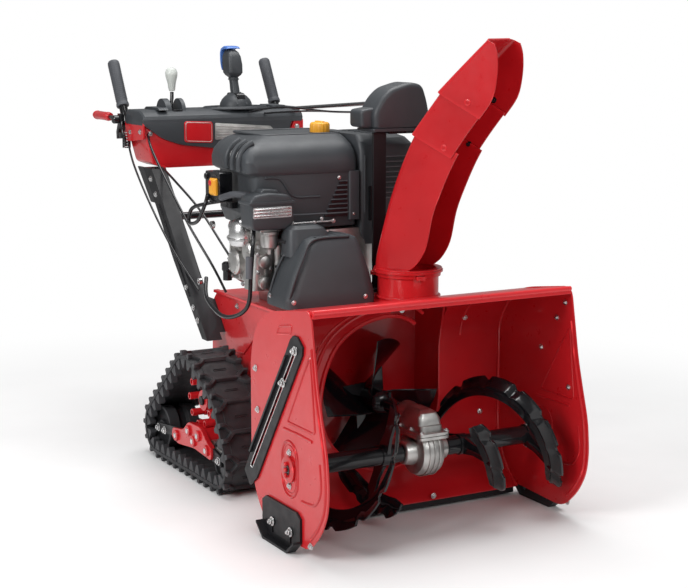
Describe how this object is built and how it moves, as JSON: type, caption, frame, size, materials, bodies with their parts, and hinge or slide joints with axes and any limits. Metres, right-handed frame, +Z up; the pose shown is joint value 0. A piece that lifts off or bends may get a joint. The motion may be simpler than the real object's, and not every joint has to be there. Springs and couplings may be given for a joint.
{
  "type": "two stage snowblower",
  "caption": "Tracked two-stage snow blower with a wide auger housing, impeller, turning discharge chute with hinged deflectors, engine and control console.",
  "frame": {"origin": "on the ground under the middle of the machine", "axes": "+Z up, the auger opening faces -Y, the operator stands at +Y, +X is the operator's left"},
  "size_m": [0.7726, 1.643, 1.18],
  "materials": {
    "red_paint": "gloss red powder coat",
    "black_paint": "gloss black paint",
    "dark_plastic": "finely textured dark grey plastic",
    "cast_aluminium": "as cast",
    "bright_steel": "zinc plated",
    "rubber": "moulded rubber",
    "pale_plastic": "smooth pale grey plastic",
    "blue_plastic": "smooth blue plastic",
    "yellow_plastic": "smooth amber plastic"
  },
  "bodies": {
    "machine": {"auger_housing": "red_paint", "impeller_drum": "red_paint", "chute_neck": "red_paint", "scraper_bar": "black_paint", "side_plate_right": "red_paint", "side_plate_left": "red_paint", "auger_bearing_right": "bright_steel", "auger_bearing_left": "bright_steel", "auger_gearcase": "cast_aluminium", "drive_belt": "rubber", "belt_cover": "dark_plastic", "control_post": "black_paint", "control_cover": "dark_plastic", "chassis": "red_paint", "handle_plate": "red_paint", "dash_panel": "dark_plastic", "handle_upright_right": "black_paint", "handle_upright_left": "black_paint", "grip_right": "rubber", "grip_left": "rubber", "engine_block": "cast_aluminium", "engine_shroud": "dark_plastic", "muffler_cover": "dark_plastic", "switch_box": "black_paint"},
    "auger": {"auger_shaft": "black_paint", "auger_right": "black_paint", "auger_left": "black_paint"},
    "impeller": {"impeller": "black_paint", "impeller_pulley": "bright_steel"},
    "engine_pulley": {"engine_pulley": "bright_steel"},
    "chute": {"chute_lower": "red_paint"},
    "deflector_middle": {"deflector_middle": "red_paint"},
    "deflector_upper": {"deflector_upper": "red_paint"},
    "control_rod": {"control_rod": "black_paint"},
    "speed_lever": {"speed_lever": "black_paint", "speed_knob": "pale_plastic"},
    "joystick_dome": {"joystick_dome": "dark_plastic"},
    "joystick": {"joystick": "dark_plastic"},
    "joystick_trigger": {"joystick_trigger": "blue_plastic"},
    "fuel_cap": {"fuel_cap": "yellow_plastic"},
    "engine_switch": {"engine_switch": "yellow_plastic"},
    "recoil_handle": {"recoil_handle": "rubber"},
    "tracks": {"track_frame_right": "black_paint", "track_frame_left": "black_paint", "track_right": "rubber", "track_left": "rubber"},
    "drift_cutter_right": {"drift_cutter_right": "black_paint"},
    "skid_shoe_right": {"skid_shoe_right": "black_paint"},
    "hand_lever_right": {"hand_lever_right": "red_paint"},
    "steering_trigger_right": {"steering_trigger_right": "black_paint"},
    "sprocket_right": {"sprocket_right": "red_paint"},
    "front_idler_right": {"front_idler_right": "rubber"},
    "rear_idler_right": {"rear_idler_right": "rubber"},
    "drift_cutter_left": {"drift_cutter_left": "black_paint"},
    "skid_shoe_left": {"skid_shoe_left": "black_paint"},
    "hand_lever_left": {"hand_lever_left": "red_paint"},
    "steering_trigger_left": {"steering_trigger_left": "black_paint"},
    "sprocket_left": {"sprocket_left": "red_paint"},
    "front_idler_left": {"front_idler_left": "rubber"},
    "rear_idler_left": {"rear_idler_left": "rubber"}
  },
  "joints": [
    {"name": "auger_spin", "type": "hinge", "parent": "machine", "child": "auger", "pos_m": [0, -0.63, 0.193], "axis": [1, 0, 0], "continuous": true},
    {"name": "impeller_spin", "type": "hinge", "parent": "machine", "child": "impeller", "pos_m": [0, -0.63, 0.27], "axis": [0, 1, 0], "continuous": true},
    {"name": "engine_spin", "type": "hinge", "parent": "machine", "child": "engine_pulley", "pos_m": [-0.05, -0.292, 0.59], "axis": [0, 1, 0], "continuous": true},
    {"name": "chute_turn", "type": "hinge", "parent": "machine", "child": "chute", "pos_m": [0.095, -0.4, 0.596], "axis": [0, 0, 1], "range_deg": [-120, 60]},
    {"name": "deflector_middle_tilt", "type": "hinge", "parent": "chute", "child": "deflector_middle", "pos_m": [0.1625, -0.51691, 0.918], "axis": [0.866, 0.5, 0], "range_deg": [0, 28]},
    {"name": "deflector_upper_tilt", "type": "hinge", "parent": "deflector_middle", "child": "deflector_upper", "pos_m": [0.195, -0.57321, 1.03], "axis": [0.866, 0.5, 0], "range_deg": [0, 28]},
    {"name": "control_rod_twist", "type": "hinge", "parent": "machine", "child": "control_rod", "pos_m": [0.23, 0.505, 0.962], "axis": [-0.2072, -0.976, 0.0669], "range_deg": [-360, 180]},
    {"name": "joystick_side", "type": "hinge", "parent": "machine", "child": "joystick_dome", "pos_m": [0.065, 0.56, 0.962], "axis": [0, 1, 0], "range_deg": [-18, 9]},
    {"name": "joystick_fore", "type": "hinge", "parent": "joystick_dome", "child": "joystick", "pos_m": [0.065, 0.56, 0.962], "axis": [1, 0, 0], "range_deg": [0, 14]},
    {"name": "joystick_trigger_press", "type": "hinge", "parent": "joystick", "child": "joystick_trigger", "pos_m": [0.065, 0.58, 1.148], "axis": [1, 0, 0], "range_deg": [0, 6]},
    {"name": "speed_lever_shift", "type": "hinge", "parent": "machine", "child": "speed_lever", "pos_m": [-0.14, 0.575, 0.93], "axis": [1, 0, 0], "range_deg": [-20, 32]},
    {"name": "fuel_cap_turn", "type": "hinge", "parent": "machine", "child": "fuel_cap", "pos_m": [-0.01, -0.12, 0.9345], "axis": [0, 0, 1], "range_deg": [0, 90]},
    {"name": "engine_switch_turn", "type": "hinge", "parent": "machine", "child": "engine_switch", "pos_m": [-0.3003, -0.09, 0.802], "axis": [1, 0, 0], "range_deg": [-45, 0]},
    {"name": "recoil_pull", "type": "slide", "parent": "machine", "child": "recoil_handle", "axis": [0, 1, 0], "range_m": [0, 0.3]},
    {"name": "track_tilt", "type": "hinge", "parent": "machine", "child": "tracks", "pos_m": [0, 0.01, 0.216], "axis": [1, 0, 0], "range_deg": [-4, 4]},
    {"name": "drift_cutter_right_raise", "type": "slide", "parent": "machine", "child": "drift_cutter_right", "axis": [0, -0.5848, 0.8112], "range_m": [0, 0.18]},
    {"name": "skid_shoe_right_adjust", "type": "slide", "parent": "machine", "child": "skid_shoe_right", "axis": [0, 0, 1], "range_m": [0, 0.022]},
    {"name": "hand_lever_right_squeeze", "type": "hinge", "parent": "machine", "child": "hand_lever_right", "pos_m": [-0.285, 0.655, 0.935], "axis": [1, 0, 0], "range_deg": [0, 40]},
    {"name": "steering_trigger_right_pull", "type": "hinge", "parent": "machine", "child": "steering_trigger_right", "pos_m": [-0.252, 0.681, 0.925], "axis": [1, 0, 0], "range_deg": [0, 18]},
    {"name": "sprocket_right_spin", "type": "hinge", "parent": "tracks", "child": "sprocket_right", "pos_m": [-0.26, 0.01, 0.216], "axis": [1, 0, 0], "continuous": true},
    {"name": "front_idler_right_spin", "type": "hinge", "parent": "tracks", "child": "front_idler_right", "pos_m": [-0.26, -0.138, 0.086], "axis": [1, 0, 0], "continuous": true},
    {"name": "rear_idler_right_spin", "type": "hinge", "parent": "tracks", "child": "rear_idler_right", "pos_m": [-0.26, 0.272, 0.086], "axis": [1, 0, 0], "continuous": true},
    {"name": "drift_cutter_left_raise", "type": "slide", "parent": "machine", "child": "drift_cutter_left", "axis": [0, -0.5848, 0.8112], "range_m": [0, 0.18]},
    {"name": "skid_shoe_left_adjust", "type": "slide", "parent": "machine", "child": "skid_shoe_left", "axis": [0, 0, 1], "range_m": [0, 0.022]},
    {"name": "hand_lever_left_squeeze", "type": "hinge", "parent": "machine", "child": "hand_lever_left", "pos_m": [0.285, 0.655, 0.935], "axis": [1, 0, 0], "range_deg": [0, 40]},
    {"name": "steering_trigger_left_pull", "type": "hinge", "parent": "machine", "child": "steering_trigger_left", "pos_m": [0.252, 0.681, 0.925], "axis": [1, 0, 0], "range_deg": [0, 18]},
    {"name": "sprocket_left_spin", "type": "hinge", "parent": "tracks", "child": "sprocket_left", "pos_m": [0.26, 0.01, 0.216], "axis": [1, 0, 0], "continuous": true},
    {"name": "front_idler_left_spin", "type": "hinge", "parent": "tracks", "child": "front_idler_left", "pos_m": [0.26, -0.138, 0.086], "axis": [1, 0, 0], "continuous": true},
    {"name": "rear_idler_left_spin", "type": "hinge", "parent": "tracks", "child": "rear_idler_left", "pos_m": [0.26, 0.272, 0.086], "axis": [1, 0, 0], "continuous": true}
  ],
  "couplings": [
    {"joint": "impeller_spin", "follows": "auger_spin", "ratio": 10},
    {"joint": "engine_spin", "follows": "auger_spin", "ratio": 25},
    {"joint": "deflector_upper_tilt", "follows": "deflector_middle_tilt", "ratio": 1},
    {"joint": "joystick_fore", "follows": "deflector_middle_tilt", "ratio": 0.5},
    {"joint": "joystick_side", "follows": "chute_turn", "ratio": 0.15},
    {"joint": "control_rod_twist", "follows": "chute_turn", "ratio": 3},
    {"joint": "front_idler_right_spin", "follows": "sprocket_right_spin", "ratio": 1.4},
    {"joint": "rear_idler_right_spin", "follows": "sprocket_right_spin", "ratio": 1.4},
    {"joint": "front_idler_left_spin", "follows": "sprocket_left_spin", "ratio": 1.4},
    {"joint": "rear_idler_left_spin", "follows": "sprocket_left_spin", "ratio": 1.4}
  ]
}
